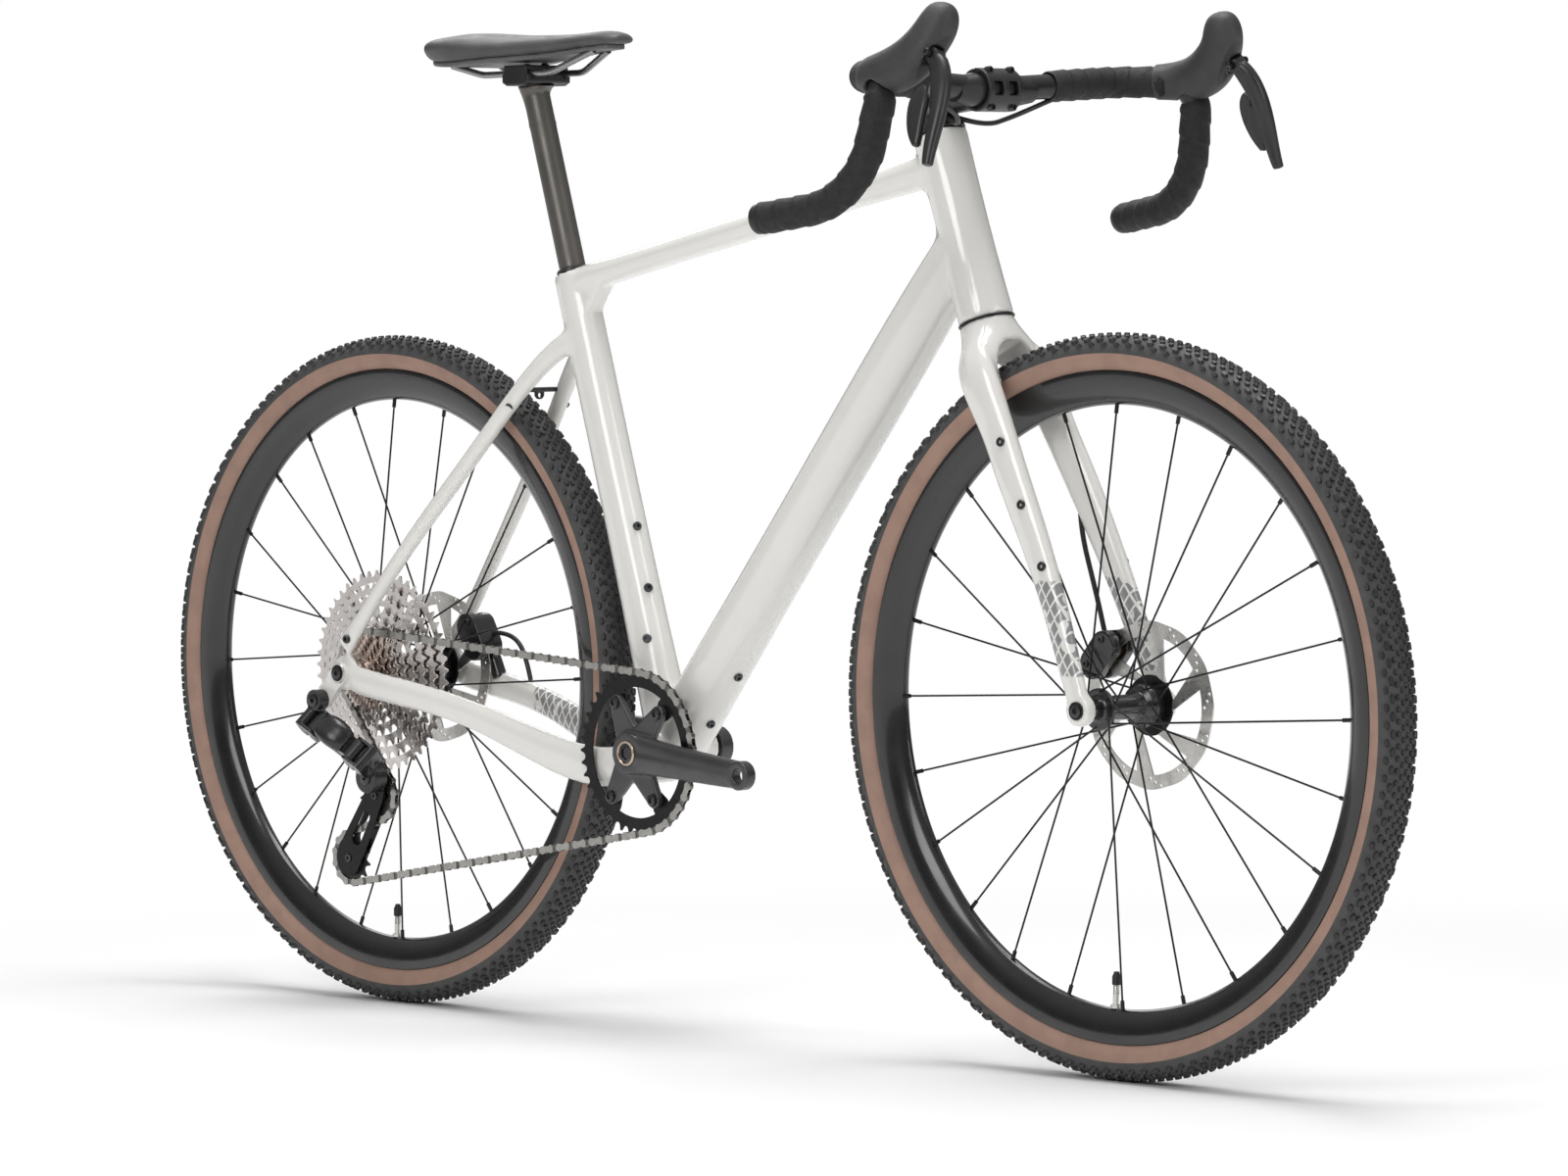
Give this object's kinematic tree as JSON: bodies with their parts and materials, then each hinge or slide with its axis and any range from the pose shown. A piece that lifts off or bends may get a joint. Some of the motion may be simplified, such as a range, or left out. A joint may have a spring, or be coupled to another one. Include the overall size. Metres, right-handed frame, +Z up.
{
  "type": "gravel bike",
  "caption": "Gravel bike with off-white moulded frame and fork, flared drop bar, disc brakes, single chainring, wide-range cassette and tan-wall tyres, without pedals.",
  "frame": {"origin": "on the ground midway between the two axles, in the frame's mid-plane", "axes": "+X forward to the front wheel, +Y to the rider's left, +Z up; the drive side is -Y"},
  "size_m": [1.7413, 0.5298, 1.016],
  "materials": {
    "frame_paint": "gloss off-white lacquer over a moulded composite",
    "black_satin": "satin black",
    "composite_black": "matte black composite",
    "post_grey": "satin dark grey composite",
    "anodised_black": "black anodised",
    "crank_grey": "dark grey anodised",
    "steel": "bright steel",
    "cassette_steel": "plated steel",
    "chain_steel": "plated steel with oil",
    "spoke_black": "black steel",
    "tyre_rubber": "black tread with tan sidewalls",
    "hood_rubber": "matte black rubber",
    "tape": "grained black bar tape",
    "lever_grey": "dark grey coated",
    "hose_black": "black hose",
    "saddle_cover": "matte black synthetic cover over foam",
    "saddle_base": "grey-black moulded base",
    "pulley_plastic": "black moulded",
    "pad_brown": "friction compound"
  },
  "bodies": {
    "frame_body": {"frame": "frame_paint", "headset_bearings": "steel", "bottom_bracket": "anodised_black", "seat_clamp": "black_satin", "derailleur_hanger": "anodised_black", "rear_axle": "anodised_black", "port_covers": "black_satin", "mudguard_bridge": "black_satin", "rear_caliper": "black_satin", "rear_brake_hose": "hose_black", "chain": "chain_steel", "b_knuckle": "composite_black"},
    "steering_body": {"fork": "frame_paint", "front_axle": "anodised_black", "front_caliper": "black_satin", "front_brake_hose": "hose_black", "headset_cover": "black_satin", "stem": "black_satin", "stem_faceplate": "black_satin", "handlebar": "black_satin", "bar_tape": "tape", "left_hood": "hood_rubber", "right_hood": "hood_rubber", "brake_hoses": "hose_black"},
    "front_wheel": {"front_rim": "composite_black", "front_tyre": "tyre_rubber", "front_spokes": "spoke_black", "front_rotor": "steel", "front_hub": "black_satin"},
    "rear_wheel": {"rear_rim": "composite_black", "rear_tyre": "tyre_rubber", "rear_spokes": "spoke_black", "rear_rotor": "steel", "rear_hub": "black_satin"},
    "cassette_body": {"cassette": "cassette_steel", "freehub": "anodised_black"},
    "crankset": {"right_crank": "crank_grey", "left_crank": "crank_grey", "crank_spindle": "steel", "chainring": "anodised_black", "chainring_bolts": "anodised_black"},
    "post_body": {"seatpost": "post_grey", "saddle_clamp": "anodised_black", "saddle_rails": "anodised_black", "saddle_shell": "saddle_base", "saddle_pad": "saddle_cover"},
    "left_lever_body": {"left_brake_lever": "lever_grey"},
    "right_lever_body": {"right_brake_lever": "lever_grey"},
    "left_paddle_body": {"left_shift_paddle": "lever_grey"},
    "right_paddle_body": {"right_shift_paddle": "lever_grey"},
    "front_pad_outer_body": {"front_pad_outer": "pad_brown"},
    "front_pad_inner_body": {"front_pad_inner": "pad_brown"},
    "rear_pad_outer_body": {"rear_pad_outer": "pad_brown"},
    "rear_pad_inner_body": {"rear_pad_inner": "pad_brown"},
    "outer_link_body": {"outer_link": "composite_black"},
    "inner_link_body": {"inner_link": "composite_black"},
    "p_knuckle_body": {"p_knuckle": "composite_black"},
    "cage_body": {"cage": "composite_black"},
    "guide_pulley_body": {"guide_pulley": "pulley_plastic"},
    "tension_pulley_body": {"tension_pulley": "pulley_plastic"}
  },
  "joints": [
    {"name": "steering", "type": "hinge", "parent": "frame_body", "child": "steering_body", "pos_m": [0.34721, 0, 0.71545], "axis": [-0.3156, 0, 0.9489], "range_deg": [-60, 60]},
    {"name": "front_wheel_spin", "type": "hinge", "parent": "steering_body", "child": "front_wheel", "pos_m": [0.5187, 0, 0.352], "axis": [0, 1, 0], "continuous": true},
    {"name": "rear_wheel_spin", "type": "hinge", "parent": "frame_body", "child": "rear_wheel", "pos_m": [-0.5187, 0, 0.352], "axis": [0, 1, 0], "continuous": true},
    {"name": "crank_spin", "type": "hinge", "parent": "frame_body", "child": "crankset", "pos_m": [-0.09851, 0, 0.285], "axis": [0, 1, 0], "continuous": true, "deforming": ["chain"]},
    {"name": "cassette_spin", "type": "hinge", "parent": "frame_body", "child": "cassette_body", "pos_m": [-0.5187, 0, 0.352], "axis": [0, 1, 0], "continuous": true},
    {"name": "seatpost_height", "type": "slide", "parent": "frame_body", "child": "post_body", "axis": [-0.279, 0, 0.9603], "range_m": [-0.1, 0.04]},
    {"name": "left_lever_pull", "type": "hinge", "parent": "steering_body", "child": "left_lever_body", "pos_m": [0.48502, 0.207, 0.95992], "axis": [0, 0.9455, 0.3256], "range_deg": [0, 22], "stiffness_Nm_per_rad": 0.6, "springref_deg": -11.46},
    {"name": "right_lever_pull", "type": "hinge", "parent": "steering_body", "child": "right_lever_body", "pos_m": [0.48502, -0.207, 0.95992], "axis": [0, 0.9455, -0.3256], "range_deg": [0, 22], "stiffness_Nm_per_rad": 0.6, "springref_deg": -11.46},
    {"name": "left_paddle_push", "type": "hinge", "parent": "left_lever_body", "child": "left_paddle_body", "pos_m": [0.49152, 0.21031, 0.96106], "axis": [0, 0.3256, -0.9455], "range_deg": [0, 8], "stiffness_Nm_per_rad": 0.08, "springref_deg": -2.86},
    {"name": "right_paddle_push", "type": "hinge", "parent": "right_lever_body", "child": "right_paddle_body", "pos_m": [0.49152, -0.21031, 0.96106], "axis": [0, 0.3256, 0.9455], "range_deg": [0, 8], "stiffness_Nm_per_rad": 0.08, "springref_deg": -2.86},
    {"name": "front_pad_outer_close", "type": "slide", "parent": "steering_body", "child": "front_pad_outer_body", "axis": [0, -1, 0], "range_m": [0, 0.00025]},
    {"name": "front_pad_inner_close", "type": "slide", "parent": "steering_body", "child": "front_pad_inner_body", "axis": [0, 1, 0], "range_m": [0, 0.00025]},
    {"name": "rear_pad_outer_close", "type": "slide", "parent": "frame_body", "child": "rear_pad_outer_body", "axis": [0, -1, 0], "range_m": [0, 0.00025]},
    {"name": "rear_pad_inner_close", "type": "slide", "parent": "frame_body", "child": "rear_pad_inner_body", "axis": [0, 1, 0], "range_m": [0, 0.00025]},
    {"name": "derailleur_shift", "type": "hinge", "parent": "frame_body", "child": "outer_link_body", "pos_m": [-0.541, -0.095, 0.299], "axis": [0.2897, 0.6264, 0.7237], "range_deg": [-25, 37.5], "deforming": ["chain"]},
    {"name": "inner_link_swing", "type": "hinge", "parent": "frame_body", "child": "inner_link_body", "pos_m": [-0.54884, -0.08306, 0.2918], "axis": [0.2897, 0.6264, 0.7237], "range_deg": [-25, 37.5]},
    {"name": "p_knuckle_level", "type": "hinge", "parent": "outer_link_body", "child": "p_knuckle_body", "pos_m": [-0.497, -0.083, 0.271], "axis": [0.2897, 0.6264, 0.7237], "range_deg": [-37.5, 25]},
    {"name": "cage_swing", "type": "hinge", "parent": "p_knuckle_body", "child": "cage_body", "pos_m": [-0.496, 0, 0.242], "axis": [0, 1, 0], "range_deg": [-45, 12], "deforming": ["chain"]},
    {"name": "guide_pulley_spin", "type": "hinge", "parent": "cage_body", "child": "guide_pulley_body", "pos_m": [-0.502, 0, 0.222], "axis": [0, 1, 0], "continuous": true},
    {"name": "tension_pulley_spin", "type": "hinge", "parent": "cage_body", "child": "tension_pulley_body", "pos_m": [-0.54583, 0, 0.15389], "axis": [0, 1, 0], "continuous": true}
  ],
  "couplings": [
    {"joint": "cassette_spin", "follows": "crank_spin", "ratio": 1.9048},
    {"joint": "guide_pulley_spin", "follows": "crank_spin", "ratio": -3.0769},
    {"joint": "tension_pulley_spin", "follows": "crank_spin", "ratio": 3.0769},
    {"joint": "inner_link_swing", "follows": "derailleur_shift", "ratio": 1},
    {"joint": "p_knuckle_level", "follows": "derailleur_shift", "ratio": -1},
    {"joint": "front_pad_outer_close", "follows": "left_lever_pull", "m_per_rad": 0.00065109},
    {"joint": "front_pad_inner_close", "follows": "left_lever_pull", "m_per_rad": 0.00065109},
    {"joint": "rear_pad_outer_close", "follows": "right_lever_pull", "m_per_rad": 0.00065109},
    {"joint": "rear_pad_inner_close", "follows": "right_lever_pull", "m_per_rad": 0.00065109}
  ]
}
